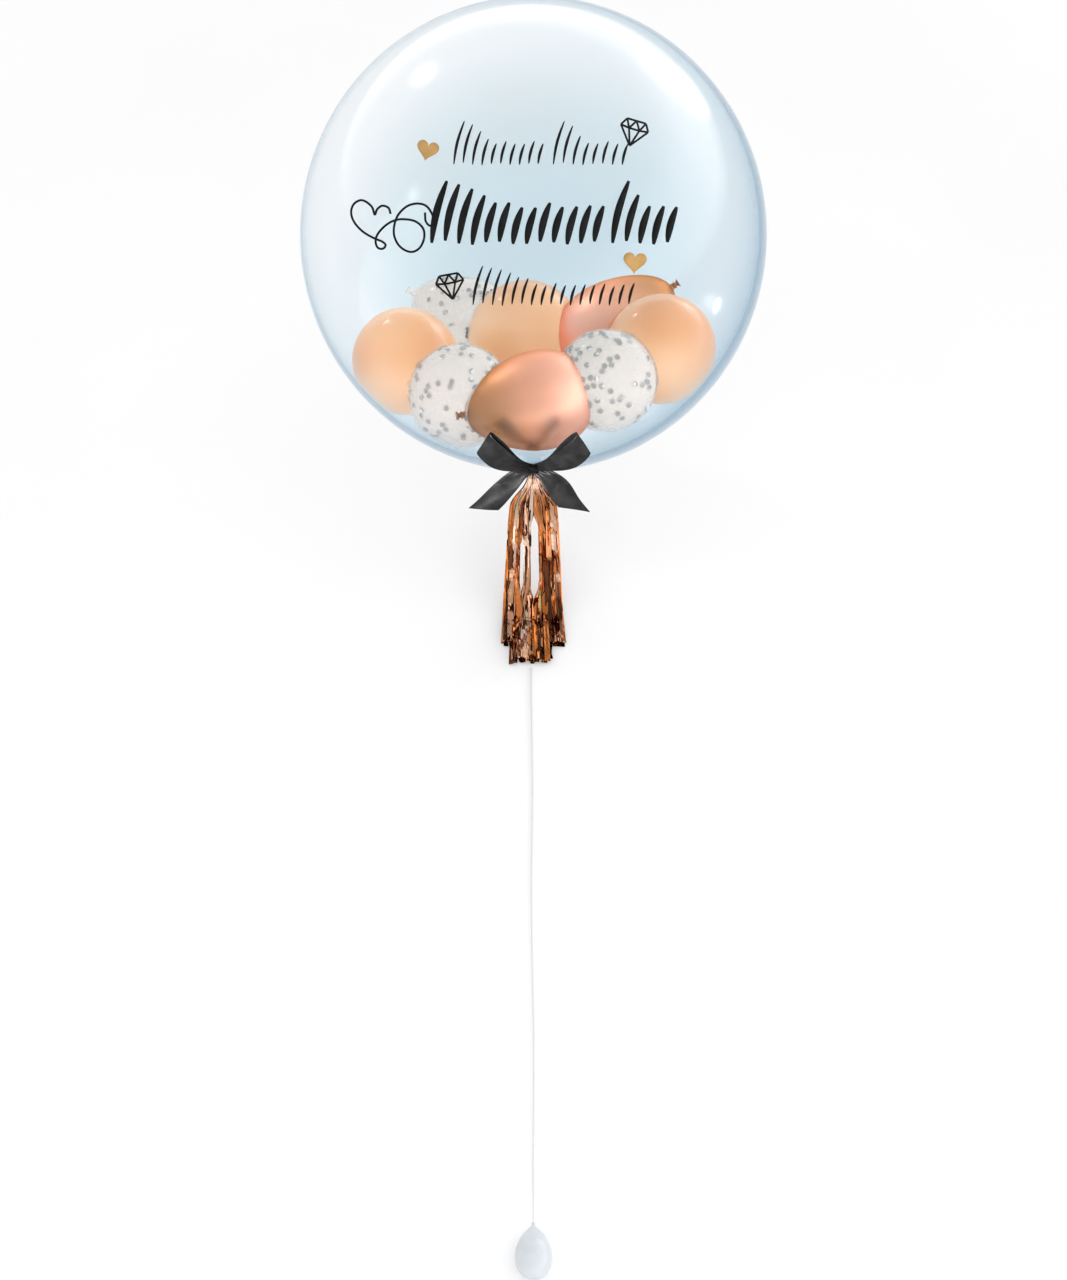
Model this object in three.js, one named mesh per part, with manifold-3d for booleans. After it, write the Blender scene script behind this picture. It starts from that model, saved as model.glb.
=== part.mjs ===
// Clear bubble balloon, lying on a flat surface: film bubble with a gathered neck, satin bow, foil tassel,
// string and a small weight balloon. Millimetres, +Z up, the surface at z = 0, the neck pointing to -Y.
import * as THREE from 'three';
import { mergeVertices } from 'three/addons/utils/BufferGeometryUtils.js';
import Module from 'manifold-3d';

const wasm = await Module();
wasm.setup();

const { degToRad, lerp, smoothstep } = THREE.MathUtils;

// Driving dimensions
const gap = 0.3; // clearance between pieces that touch
const bubbleRadius = 305; // a 24 inch bubble
const flatSpotRadius = 38; // where the film rests on the surface
const lean = degToRad(62); // how far the bubble's axis leans back, so that its neck points forward and down
const neckRadius = 7; // film gathered tight
const neckLength = 17; // below the sphere
const gatherRadius = 22; // where the sphere starts to turn into the neck

const ribbonThickness = 1.4;
const ringThickness = 3; // the ribbon crumpled round the neck
const ringHeight = 8.4;
const knot = { halfWidth: 9, halfDepth: 9, halfHeight: 6, below: 7.4, forward: 3, standOff: 4.5 };
const bowTilt = degToRad(20); // the bow faces a little below the bubble's front
const loop = {
  foldUpper: [54, 76, 53], // across, out and up from the knot's centre
  foldLower: [71, 62, 27],
  pinch: 5.5, // half height where it leaves the knot
  fullness: 9, // how far its front and its back bow apart
  lift: 13, // how far it arches out from the knot
  outward: [0.1, 0.88, -0.42],
};

const tasselLength = 266;
const tasselHalfWidth = 43; // at the tips
const stripWidth = 8.5;
const stripThickness = 1;
const stripsAcross = 9;
const stripWave = 1.5; // how far a strip sways from its line
const stripTwist = 0.35; // radians
const sideStripsShorter = 30;
const headSpread = 0.66; // share of the tips' width that the strips reach just below the head
const layerGap = 5; // from the middle line to each layer of strips

const stringRadius = 1;
const stringSides = 8;
const stringSteps = 76;

const weightRadius = 22;
const weightLength = 60; // without its neck
const weightNeck = 6;
const weightTilt = degToRad(12); // the knot end sinks towards the surface
const weightFlatDepth = 1.2;

// The bubble's centre, and the frame in which its axis is upright with the neck below
const bubbleHeight = Math.sqrt(bubbleRadius ** 2 - flatSpotRadius ** 2);
const upright = new THREE.Matrix4().makeRotationX(-lean).setPosition(0, 0, bubbleHeight);

// Turns a closed mesh into a solid that can be joined and cut.
function solidOf(geometry) {
  const plain = geometry.clone();
  plain.deleteAttribute('normal');
  plain.deleteAttribute('uv');
  const merged = mergeVertices(plain, 1e-4);
  const triangles = [];
  const index = merged.index.array;
  for (let i = 0; i < index.length; i += 3) {
    const [a, b, c] = index.slice(i, i + 3);
    if (a !== b && b !== c && c !== a) triangles.push(a, b, c);
  }
  const vertProperties = new Float32Array(merged.attributes.position.array);
  const triVerts = new Uint32Array(triangles);
  return new wasm.Manifold(new wasm.Mesh({ numProp: 3, vertProperties, triVerts }));
}

function geometryOf(solid) {
  const mesh = solid.getMesh();
  const geometry = new THREE.BufferGeometry();
  geometry.setAttribute('position', new THREE.BufferAttribute(mesh.vertProperties, mesh.numProp));
  geometry.setIndex(new THREE.BufferAttribute(mesh.triVerts, 1));
  return geometry;
}

// Joins overlapping pieces into one solid, and fills any void that they close in.
function joined(geometries) {
  const [first, ...others] = geometries.map(solidOf);
  const whole = others.reduce((sum, next) => sum.add(next), first);
  const [outside] = whole.decompose().sort((a, b) => b.volume() - a.volume());
  return geometryOf(outside);
}

// Keeps what is above the surface.
function restedOnSurface(geometry) {
  const size = 4000;
  const room = new THREE.BoxGeometry(size, size, size).translate(0, 0, size / 2);
  return geometryOf(solidOf(geometry).intersect(solidOf(room)));
}

// A closed mesh through rings of points, all with the same number of points, with flat ends.
function loft(rings) {
  const around = rings[0].length;
  const last = (rings.length - 1) * around;
  const triangles = [];
  for (let i = 0; i < last; i += around) {
    for (let j = 0; j < around; j++) {
      const a = i + j;
      const b = i + ((j + 1) % around);
      triangles.push(a, b, b + around, a, b + around, a + around);
    }
  }
  for (let j = 1; j + 1 < around; j++) {
    triangles.push(0, j + 1, j, last, last + j, last + j + 1);
  }
  const geometry = new THREE.BufferGeometry().setFromPoints(rings.flat());
  geometry.setIndex(triangles);
  return geometry;
}

// A turned shape about +Z, from a profile of [radius, height] points that starts and ends on the axis.
function turned(profile, around) {
  const points = profile.map(([radius, height]) => new THREE.Vector2(radius, height));
  return new THREE.LatheGeometry(points, around).rotateX(Math.PI / 2);
}

// A flat strip between two edges, each a list of points. Its thickness is laid evenly on both faces.
function strip(leftEdge, rightEdge, thickness) {
  const middle = (i) => leftEdge[i].clone().add(rightEdge[i]);
  const rings = leftEdge.map((left, i) => {
    const right = rightEdge[i];
    const before = Math.max(i - 1, 0);
    const after = Math.min(i + 1, leftEdge.length - 1);
    const along = middle(after).sub(middle(before));
    const face = along.cross(right.clone().sub(left)).normalize().multiplyScalar(thickness / 2);
    const under = [left.clone().sub(face), right.clone().sub(face)];
    return [...under, right.clone().add(face), left.clone().add(face)];
  });
  return loft(rings);
}

// Film sphere with a short gathered neck, cut flat where it rests.
function bubble() {
  const profile = [];
  const filmSteps = 26;
  const gatherAngle = Math.asin(gatherRadius / bubbleRadius);
  for (let i = 0; i <= filmSteps; i++) {
    const angle = gatherAngle + (i / filmSteps) * (Math.PI - gatherAngle);
    profile.push([bubbleRadius * Math.sin(angle), -bubbleRadius * Math.cos(angle)]);
  }
  profile[filmSteps] = [0, bubbleRadius];
  const neckEnd = -bubbleRadius - neckLength;
  const neck = [
    [0, neckEnd],
    [neckRadius, neckEnd],
    [neckRadius, -bubbleRadius - 3],
    [neckRadius + 2, -bubbleRadius - 1.2],
    [(neckRadius + gatherRadius) / 2, -bubbleRadius - 0.2],
  ];
  return restedOnSurface(turned([...neck, ...profile], 48).applyMatrix4(upright));
}

// Satin ribbon tied round the neck: a crumpled ring, the knot in front of it, two loops and two tails.
// Front points are [across, out, up] from the knot's centre, and face the viewer.
function bow() {
  const ringInner = neckRadius + gap;
  const ringOuter = ringInner + ringThickness;
  const ringMiddle = -bubbleRadius - knot.below;
  const ring = turned(
    [
      [ringInner, ringMiddle - ringHeight / 2],
      [ringOuter, ringMiddle - ringHeight / 2],
      [ringOuter, ringMiddle + ringHeight / 2],
      [ringInner, ringMiddle + ringHeight / 2],
      [ringInner, ringMiddle - ringHeight / 2],
    ],
    20,
  );
  const front = [bowKnot(), bowLoop(-1), bowLoop(1), bowTail('left'), bowTail('right')];
  front.forEach((piece) => {
    piece.rotateX(bowTilt);
    piece.translate(0, -ringOuter - knot.standOff, ringMiddle);
  });
  return joined([ring, ...front]).applyMatrix4(upright);
}

const frontPoint = ([across, out, up]) => new THREE.Vector3(across, -out, up);

function bowKnot() {
  const ball = new THREE.SphereGeometry(1, 14, 8).scale(knot.halfWidth, knot.halfDepth, knot.halfHeight);
  return ball.translate(0, -knot.forward, 0);
}

// One loop: out along its front, round a tight fold, and back behind.
// The bubble presses its outer edge forward.
function bowLoop(side) {
  const steps = 20;
  const mirror = new THREE.Vector3(side, 1, 1);
  const foldUpper = frontPoint(loop.foldUpper).multiply(mirror);
  const foldLower = frontPoint(loop.foldLower).multiply(mirror);
  const outward = frontPoint(loop.outward).multiply(mirror).normalize();
  const wide = foldUpper.clone().sub(foldLower).multiplyScalar(0.5);
  const narrow = new THREE.Vector3(0, 0, loop.pinch);
  const atKnot = 0.04; // share of the way out to the fold
  const fullyOpen = 0.75;
  const upper = [];
  const lower = [];
  for (let i = 0; i <= steps; i++) {
    const turn = (i / steps) * Math.PI;
    const reach = Math.sin(turn);
    const bulge = loop.fullness * Math.sin(2 * turn) * reach + loop.lift * Math.sin(reach * Math.PI);
    const middle = foldUpper.clone().add(foldLower).multiplyScalar(lerp(atKnot, 1, reach) / 2);
    middle.addScaledVector(outward, bulge);
    const half = narrow.clone().lerp(wide, smoothstep(reach, 0, fullyOpen));
    upper.push(middle.clone().add(half));
    lower.push(middle.clone().sub(half));
  }
  return side < 0 ? strip(upper, lower, ribbonThickness) : strip(lower, upper, ribbonThickness);
}

// One tail, from its two edges. The ends are cut at a slant.
const tailEdges = {
  left: {
    outer: [[-4, 3, 4], [-28, 8, -2], [-49, 6, -18], [-70, 2, -39], [-84, -3, -52]],
    inner: [[2, 3, -5], [-9, 8, -11], [-20, 7, -25], [-35, 3, -43], [-45, -2, -54]],
  },
  right: {
    outer: [[4, 3, 4], [30, 8, -5], [46, 7, -18], [59, 3, -39], [73, -3, -57]],
    inner: [[-2, 3, -5], [7, 8, -13], [15, 8, -25], [24, 4, -40], [32, 0, -50]],
  },
};

function bowTail(side) {
  const steps = 9;
  const outer = new THREE.CatmullRomCurve3(tailEdges[side].outer.map(frontPoint)).getPoints(steps);
  const inner = new THREE.CatmullRomCurve3(tailEdges[side].inner.map(frontPoint)).getPoints(steps);
  return side === 'left' ? strip(outer, inner, ribbonThickness) : strip(inner, outer, ribbonThickness);
}

// The tassel's middle line: out of the neck along the bubble's axis, down, then forward on the surface.
const tasselStart = new THREE.Vector3(0, 0, -bubbleRadius - neckLength - gap).applyMatrix4(upright);
const neckWay = new THREE.Vector3(0, -Math.sin(lean), -Math.cos(lean));
const landingHeight = 4;
const landing = new THREE.Vector3(0, -405, landingHeight);

function tasselLine() {
  const line = new THREE.CurvePath();
  const outOfNeck = tasselStart.clone().addScaledVector(neckWay, 60);
  const nearSurface = landing.clone().add(new THREE.Vector3(0, 34, 0));
  line.add(new THREE.CubicBezierCurve3(tasselStart, outOfNeck, nearSurface, landing));
  const lying = tasselLength - line.getLength();
  line.add(new THREE.LineCurve3(landing, landing.clone().add(new THREE.Vector3(0, -lying, 0))));
  return line;
}
const middleLine = tasselLine();
const tasselTip = middleLine.getPoint(1);

// Foil fringe: strips gathered in a head under the neck, in two layers that fan out and lie down.
function tassel() {
  const headLength = 16;
  const head = turned([[0, 0], [6, 0], [8, -6], [9, -headLength], [0, -headLength]].reverse(), 12);
  head.translate(0, 0, -bubbleRadius - neckLength - gap).applyMatrix4(upright);
  const strips = [];
  for (let layer = 0; layer < 2; layer++) {
    for (let i = 0; i < stripsAcross; i++) {
      strips.push(tasselStrip(layer, (2 * i) / (stripsAcross - 1) - 1));
    }
  }
  return restedOnSurface(joined([head, ...strips]));
}

// place runs from -1 on the left to 1 on the right
function tasselStrip(layer, place) {
  const steps = 9;
  const shorter = sideStripsShorter * Math.abs(place) ** 3 + 5 * layer;
  const reach = (tasselLength - shorter) / tasselLength;
  const left = [];
  const right = [];
  for (let i = 0; i <= steps; i++) {
    const along = (i / steps) * reach;
    const centre = middleLine.getPointAt(along);
    const way = middleLine.getTangentAt(along);
    const outOfFace = new THREE.Vector3(0, way.z, -way.y);
    const spread = lerp(smoothstep(along, 0, 0.17) * headSpread, 1, along);
    const wave = stripWave * Math.sin(9 * along + 5 * place + 2 * layer);
    const across = place * tasselHalfWidth * spread + wave * spread;
    const offLine = layer ? layerGap : -layerGap;
    const bundle = offLine * smoothstep(along, 0, 0.12) * (1 - 0.5 * place * place);
    const onSurface = layer ? 0 : stripThickness * 0.5 + 0.1 - landingHeight;
    const depth = lerp(bundle, onSurface, smoothstep(along, 0.55, 0.78));
    const flatAgain = smoothstep(along, 0.6, 0.8);
    const tilt = stripTwist * Math.sin(4 * place + 7 * along + layer) * (1 - flatAgain);
    const half = new THREE.Vector3(Math.cos(tilt), 0, 0).addScaledVector(outOfFace, Math.sin(tilt));
    half.multiplyScalar((stripWidth / 2) * lerp(0.6, 1, smoothstep(along, 0, 0.15)));
    const middle = centre.clone().addScaledVector(outOfFace, depth).add(new THREE.Vector3(across, 0, 0));
    left.push(middle.clone().sub(half));
    right.push(middle.clone().add(half));
  }
  return strip(left, right, stripThickness);
}

// The string's route from the tassel's tip, as [across, distance in front of the tip, height]
const stringLies = stringRadius + 0.05;
const stringRoute = [
  [-3.0, 0, stringLies],
  [-3.0, 8, stringLies],
  [-2.8, 40, stringLies],
  [-2.0, 90, stringLies],
  [-1.2, 145, stringLies],
  [-1.0, 200, stringLies],
  [-1.6, 255, stringLies],
  [-2.2, 310, stringLies],
  [-2.0, 365, stringLies],
  [-1.2, 420, stringLies],
  [-0.2, 475, stringLies],
  [0.5, 530, stringLies],
  [0.5, 585, stringLies],
  [0.1, 635, stringLies],
  [-0.1, 675, stringLies],
  [0, 700, stringLies + 0.3],
  [0, 718, stringLies + 2.2],
  [0, 732, stringLies + 5.4],
  [0, 739, stringLies + 7.2],
];
const stringPoints = stringRoute.map(([x, d, z]) => new THREE.Vector3(x, tasselTip.y - gap - d, z));

function string() {
  const section = new THREE.Shape();
  for (let i = 0; i < stringSides; i++) {
    const angle = ((i + 0.5) / stringSides) * 2 * Math.PI;
    section[i ? 'lineTo' : 'moveTo'](stringRadius * Math.cos(angle), stringRadius * Math.sin(angle));
  }
  section.closePath();
  const extrudePath = new THREE.CatmullRomCurve3(stringPoints);
  return new THREE.ExtrudeGeometry(section, { steps: stringSteps, extrudePath, bevelEnabled: false });
}

// Small balloon used as the weight: egg-shaped, its knot towards the string, lying on a flat spot.
function weight() {
  const profile = [];
  const eggSteps = 13;
  const eggTaper = 0.2;
  const widest = 1.02; // what the taper makes of the largest radius
  for (let i = 0; i <= eggSteps; i++) {
    const angle = Math.PI * (1 - i / eggSteps);
    const radius = (weightRadius / widest) * Math.sin(angle) * (1 - eggTaper * Math.cos(angle));
    profile.push([radius, (weightLength / 2) * (Math.cos(angle) - 1)]);
  }
  profile[0] = [0, -weightLength];
  profile.pop();
  const neck = [
    [2.4, -0.2],
    [1.6, 1],
    [3, 2.4],
    [3.4, 4],
    [2.4, weightNeck - 0.4],
    [1.4, weightNeck],
    [0, weightNeck],
  ];
  const layDown = -Math.PI / 2 - weightTilt;
  const egg = turned([...profile, ...neck], 22).rotateX(layDown);
  egg.computeBoundingBox();
  egg.translate(0, 0, -egg.boundingBox.min.z - weightFlatDepth);
  const knotEnd = new THREE.Vector3(0, 0, weightNeck).applyAxisAngle(new THREE.Vector3(1, 0, 0), layDown);
  const stringEnd = stringPoints[stringPoints.length - 1];
  egg.translate(0, stringEnd.y - gap - knotEnd.y - stringRadius * 0.3, 0);
  return restedOnSurface(egg);
}

const group = new THREE.Group();
function add(name, geometry, color, roughness, metalness) {
  const mesh = new THREE.Mesh(geometry, new THREE.MeshStandardMaterial({ color, roughness, metalness }));
  mesh.name = name;
  group.add(mesh);
}

add('bubble', bubble(), 0xcfe0ea, 0.05, 0);
add('bow', bow(), 0x17181a, 0.45, 0);
add('tassel', tassel(), 0xcf8a5c, 0.2, 1);
add('string', string(), 0xe9e9e6, 0.6, 0);
add('weight', weight(), 0xeeeeec, 0.35, 0);

export default group;
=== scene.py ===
import math
import random

import bpy
from mathutils import Matrix, Vector


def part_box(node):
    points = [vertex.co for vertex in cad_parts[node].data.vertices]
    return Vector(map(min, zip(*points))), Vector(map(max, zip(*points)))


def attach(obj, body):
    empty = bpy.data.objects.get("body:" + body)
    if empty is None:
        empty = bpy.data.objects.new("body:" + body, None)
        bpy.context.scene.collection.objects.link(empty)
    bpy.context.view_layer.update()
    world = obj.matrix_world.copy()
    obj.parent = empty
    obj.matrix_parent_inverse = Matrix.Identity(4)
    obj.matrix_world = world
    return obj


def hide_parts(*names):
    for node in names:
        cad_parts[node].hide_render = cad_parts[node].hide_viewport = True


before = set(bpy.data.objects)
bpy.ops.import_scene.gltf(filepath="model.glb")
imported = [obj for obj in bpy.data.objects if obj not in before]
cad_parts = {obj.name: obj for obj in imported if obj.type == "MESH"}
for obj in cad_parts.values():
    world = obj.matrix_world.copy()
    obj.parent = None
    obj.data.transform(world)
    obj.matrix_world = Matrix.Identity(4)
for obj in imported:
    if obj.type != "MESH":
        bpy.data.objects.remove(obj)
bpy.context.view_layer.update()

scene = bpy.context.scene
scene.view_settings.view_transform = "Standard"   # keeps the white studio white

body = "root"              # nothing on this balloon is jointed

bubble = {
    "radius": 0.305,
    "lean": 62.0,           # degrees that the balloon's axis is tipped back
}
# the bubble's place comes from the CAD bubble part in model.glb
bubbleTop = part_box("bubble")[1].z
bubbleCentre = Vector((0, 0, bubbleTop - bubble["radius"]))
# carries what is made upright, neck down, to where the balloon lies
upright = Matrix.Translation(bubbleCentre) @ Matrix.Rotation(-math.radians(bubble["lean"]), 4, "X")


# Camera, at the photograph's angle

camera = {
    "lens": 56.74,          # mm
    "sensor": 36.0,         # mm, along the picture's long side
    "elevation": 42.0,      # degrees above the floor, seen from the bubble's middle
    "distance": 2.7044,     # m from the bubble's middle
    "pitch": 53.233,        # degrees below level
    "sees": 60.0,           # m, how far it draws
}
elevation = math.radians(camera["elevation"])
towardsCamera = Vector((0, -math.cos(elevation), math.sin(elevation)))
cameraPoint = bubbleCentre + towardsCamera * camera["distance"]
pictureUp = Vector((0, math.sin(elevation), math.cos(elevation)))
pictureRight = Vector((1, 0, 0))


def placeCamera():
    data = bpy.data.cameras.new("studioCamera")
    data.lens = camera["lens"]
    data.sensor_width = camera["sensor"]
    data.clip_end = camera["sees"]
    stand = bpy.data.objects.new("studioCamera", data)
    scene.collection.objects.link(stand)
    stand.location = cameraPoint
    stand.rotation_euler = (math.radians(90 - camera["pitch"]), 0, 0)
    scene.camera = stand


placeCamera()


# Finishes

def makeFinish(name, plain):
    # a Principled material with plain values on its own sockets
    finish = bpy.data.materials.new(name)
    finish.use_nodes = True
    shader = finish.node_tree.nodes["Principled BSDF"]
    for socket, value in plain.items():
        shader.inputs[socket].default_value = value
    return finish


def addNode(finish, kind, **settings):
    # settings: values for its sockets, or for the node itself
    node = finish.node_tree.nodes.new(kind)
    for key, value in settings.items():
        if key in node.inputs:
            node.inputs[key].default_value = value
        else:
            setattr(node, key, value)
    return node


def addNoise(finish, scale, detail=3.0, stretch=None):
    links = finish.node_tree.links
    places = addNode(finish, "ShaderNodeTexCoord")
    texture = addNode(finish, "ShaderNodeTexNoise", Scale=scale, Detail=detail)
    if stretch:
        mapping = addNode(finish, "ShaderNodeMapping", Scale=stretch)
        links.new(places.outputs["Object"], mapping.inputs["Vector"])
        links.new(mapping.outputs["Vector"], texture.inputs["Vector"])
    else:
        links.new(places.outputs["Object"], texture.inputs["Vector"])
    return texture.outputs["Fac"]


def paint(finish, factor, stops, socket="Base Color"):
    # stops: (place, colour) pairs across the factor
    ramp = addNode(finish, "ShaderNodeValToRGB")
    elements = ramp.color_ramp.elements
    while len(elements) < len(stops):
        elements.new(0.5)
    for element, (place, colour) in zip(elements, stops):
        element.position = place
        element.color = (*colour, 1)
    links = finish.node_tree.links
    links.new(factor, ramp.inputs["Fac"])
    links.new(ramp.outputs["Color"], finish.node_tree.nodes["Principled BSDF"].inputs[socket])


def varyRoughness(finish, factor, low, high):
    spread = addNode(finish, "ShaderNodeMapRange")
    # nearly all of the noise lies between 0.3 and 0.7
    for socket, value in (("From Min", 0.3), ("From Max", 0.7), ("To Min", low), ("To Max", high)):
        spread.inputs[socket].default_value = value
    links = finish.node_tree.links
    links.new(factor, spread.inputs["Value"])
    links.new(spread.outputs["Result"], finish.node_tree.nodes["Principled BSDF"].inputs["Roughness"])


def addBump(finish, factor, strength, distance):
    bump = addNode(finish, "ShaderNodeBump", Strength=strength, Distance=distance)
    links = finish.node_tree.links
    links.new(factor, bump.inputs["Height"])
    links.new(bump.outputs["Normal"], finish.node_tree.nodes["Principled BSDF"].inputs["Normal"])


def makeFilmFinish():
    finish = makeFinish("clearFilm", {
        "Transmission Weight": 1.0,
        "IOR": 1.003,
        "Coat Weight": 1.0,
        "Coat Roughness": 0.15,
        "Coat IOR": 1.32,
    })
    # faint blue where it faces you, clear further out, and blue again at the very edge of the outer wall
    facing = addNode(finish, "ShaderNodeLayerWeight", Blend=0.5)
    wall = addNode(finish, "ShaderNodeAttribute", attribute_name="wall")          # below 1 on the inner wall
    towardsEdge = addNode(finish, "ShaderNodeMath", operation="MULTIPLY")
    links = finish.node_tree.links
    links.new(facing.outputs["Facing"], towardsEdge.inputs[0])
    links.new(wall.outputs["Fac"], towardsEdge.inputs[1])
    paint(finish, towardsEdge.outputs["Value"], [
        (0.0, (0.81, 0.885, 0.915)),
        (0.15, (0.87, 0.925, 0.945)),
        (0.38, (0.99, 0.995, 1.0)),
        (0.74, (1.0, 1.0, 1.0)),
        (0.80, (0.86, 0.92, 0.95)),
        (1.0, (0.42, 0.60, 0.70)),
    ])
    varyRoughness(finish, addNoise(finish, 9.0), 0.0, 0.004)
    absorb = addNode(finish, "ShaderNodeVolumeAbsorption", Color=(0.20, 0.50, 0.66, 1), Density=11.0)
    links.new(absorb.outputs["Volume"], finish.node_tree.nodes["Material Output"].inputs["Volume"])
    return finish


def makePearlFinish():
    finish = makeFinish("pearlLatex", {
        "Coat Weight": 0.5,
        "Coat Roughness": 0.16,
        "Sheen Weight": 0.06,
        "Sheen Roughness": 0.4,
        "Sheen Tint": (1.0, 0.86, 0.72, 1),
    })
    # random darker and lighter blotches: partly the latex's own mottling, partly painted soft shade
    paint(finish, addNoise(finish, 9.0, 1.0), [
        (0.32, (0.71, 0.285, 0.105)),
        (0.5, (0.79, 0.375, 0.165)),
        (0.68, (0.85, 0.47, 0.25)),
    ])
    varyRoughness(finish, addNoise(finish, 30.0), 0.32, 0.45)
    addBump(finish, addNoise(finish, 900.0, 2.0), 0.06, 0.0004)
    return finish


def makeChromeFinish():
    finish = makeFinish("chromeLatex", {
        "Metallic": 1.0,
        "Specular Tint": (0.55, 0.28, 0.10, 1),
    })
    # golden brown towards the neck and rose at the crown: the brown is painted shade, a dark reflection
    # painted into the colour along that side
    fromNeck = addNode(finish, "ShaderNodeAttribute", attribute_name="fromNeck")
    paint(finish, fromNeck.outputs["Fac"], [
        (0.0, (0.42, 0.16, 0.05)),
        (0.16, (0.64, 0.26, 0.10)),
        (0.36, (0.95, 0.39, 0.22)),
        (0.6, (1.0, 0.44, 0.29)),
        (1.0, (1.0, 0.50, 0.38)),
    ])
    varyRoughness(finish, addNoise(finish, 40.0), 0.42, 0.46)
    addBump(finish, addNoise(finish, 700.0, 2.0), 0.02, 0.0003)
    return finish


def makeMilkyFinish():
    finish = makeFinish("milkyLatex", {
        "Alpha": 0.36,
        "Coat Weight": 0.3,
        "Coat Roughness": 0.12,
    })
    paint(finish, addNoise(finish, 10.0, 2.0), [(0.3, (0.69, 0.59, 0.53)), (0.7, (0.74, 0.66, 0.605))])
    varyRoughness(finish, addNoise(finish, 60.0), 0.2, 0.32)
    addBump(finish, addNoise(finish, 900.0, 2.0), 0.05, 0.0003)
    return finish


def makeHazyFinish():
    # the milky inside, behind the confetti
    finish = makeFinish("hazyLatex", {"Alpha": 0.82, "Specular IOR Level": 0.2})
    paint(finish, addNoise(finish, 10.0, 2.0), [(0.3, (0.69, 0.585, 0.515)), (0.7, (0.74, 0.65, 0.59))])
    varyRoughness(finish, addNoise(finish, 60.0), 0.5, 0.6)
    return finish


def makeConfettiFinish():
    finish = makeFinish("silverConfetti", {"Metallic": 0.35})
    # mostly dark grey; the near-white stop gives random painted glints on the discs
    paint(finish, addNoise(finish, 120.0, 1.0), [
        (0.38, (0.13, 0.13, 0.125)),
        (0.60, (0.27, 0.27, 0.26)),
        (0.68, (0.95, 0.95, 0.93)),
    ])
    varyRoughness(finish, addNoise(finish, 200.0), 0.2, 0.4)
    return finish


def makeVinylFinish(name, dark, light):
    finish = makeFinish(name, {"Specular IOR Level": 0.12})
    paint(finish, addNoise(finish, 60.0, 2.0), [(0.3, dark), (0.7, light)])
    varyRoughness(finish, addNoise(finish, 300.0), 0.55, 0.65)
    return finish


def makeSatinFinish():
    finish = makeFinish("blackSatin", {
        "Anisotropic": 0.6,
        "Specular IOR Level": 0.12,
        "Sheen Weight": 0.01,
        "Sheen Roughness": 0.3,
    })
    paint(finish, addNoise(finish, 60.0, 2.0), [(0.3, (0.003, 0.003, 0.003)), (0.7, (0.009, 0.009, 0.009))])
    varyRoughness(finish, addNoise(finish, 250.0), 0.3, 0.42)
    addBump(finish, addNoise(finish, 2500.0, 2.0, (1, 0.15, 0.15)), 0.25, 0.0003)
    return finish


def makeFoilFinish():
    finish = makeFinish("roseFoil", {"Metallic": 1.0})
    tone = addNode(finish, "ShaderNodeAttribute", attribute_name="tone")
    # the darkest stops are painted shade, standing for dark surroundings mirrored in the foil
    paint(finish, tone.outputs["Fac"], [
        (0.0, (0.06, 0.022, 0.010)),
        (0.12, (0.17, 0.06, 0.025)),
        (0.25, (0.56, 0.17, 0.035)),
        (0.5, (0.42, 0.19, 0.095)),
        (0.75, (0.50, 0.28, 0.175)),
        (0.93, (0.72, 0.52, 0.41)),
        (1.0, (0.27, 0.25, 0.11)),
    ])
    varyRoughness(finish, addNoise(finish, 160.0), 0.05, 0.16)
    addBump(finish, addNoise(finish, 130.0, 2.0), 0.22, 0.0010)
    return finish


def makeStringFinish():
    finish = makeFinish("whiteString", {"Sheen Weight": 0.3})
    paint(finish, addNoise(finish, 900.0, 2.0), [(0.3, (0.52, 0.52, 0.525)), (0.7, (0.62, 0.62, 0.62))])
    varyRoughness(finish, addNoise(finish, 500.0), 0.6, 0.75)
    addBump(finish, addNoise(finish, 1500.0, 2.0), 0.4, 0.0004)
    return finish


def makeWhiteLatexFinish():
    finish = makeFinish("whiteLatex", {
        "Coat Weight": 0.3,
        "Coat Roughness": 0.2,
        "Subsurface Weight": 0.3,
        "Subsurface Radius": (0.006, 0.006, 0.007),
        "Subsurface Scale": 1.0,
    })
    paint(finish, addNoise(finish, 60.0, 2.0), [(0.3, (0.46, 0.49, 0.515)), (0.7, (0.51, 0.54, 0.56))])
    varyRoughness(finish, addNoise(finish, 120.0), 0.3, 0.45)
    addBump(finish, addNoise(finish, 1500.0, 2.0), 0.06, 0.0003)
    return finish


clearFilm = makeFilmFinish()
pearlLatex = makePearlFinish()
chromeLatex = makeChromeFinish()
milkyLatex = makeMilkyFinish()
hazyLatex = makeHazyFinish()
silverConfetti = makeConfettiFinish()
blackVinyl = makeVinylFinish("blackVinyl", (0.003, 0.003, 0.003), (0.008, 0.008, 0.009))
goldVinyl = makeVinylFinish("goldVinyl", (0.38, 0.225, 0.08), (0.45, 0.27, 0.10))
blackSatin = makeSatinFinish()
roseFoil = makeFoilFinish()
whiteString = makeStringFinish()
whiteLatex = makeWhiteLatexFinish()
print("bubble balloon: finishes ready")


# Shared ways of making a mesh

def makePiece(name, points, faces, finish, stoodFor=(), smooth=True):
    mesh = bpy.data.meshes.new(name)
    mesh.from_pydata([tuple(point) for point in points], [], faces)
    mesh.materials.append(finish)
    mesh.polygons.foreach_set("use_smooth", [smooth] * len(mesh.polygons))
    piece = bpy.data.objects.new(name, mesh)
    scene.collection.objects.link(piece)
    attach(piece, body)
    if stoodFor:
        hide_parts(*stoodFor)
    return piece


def markPoints(piece, name, values):
    # a value at each point, which a finish reads by its name
    piece.data.attributes.new(name, "FLOAT", "POINT").data.foreach_set("value", values)


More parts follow.
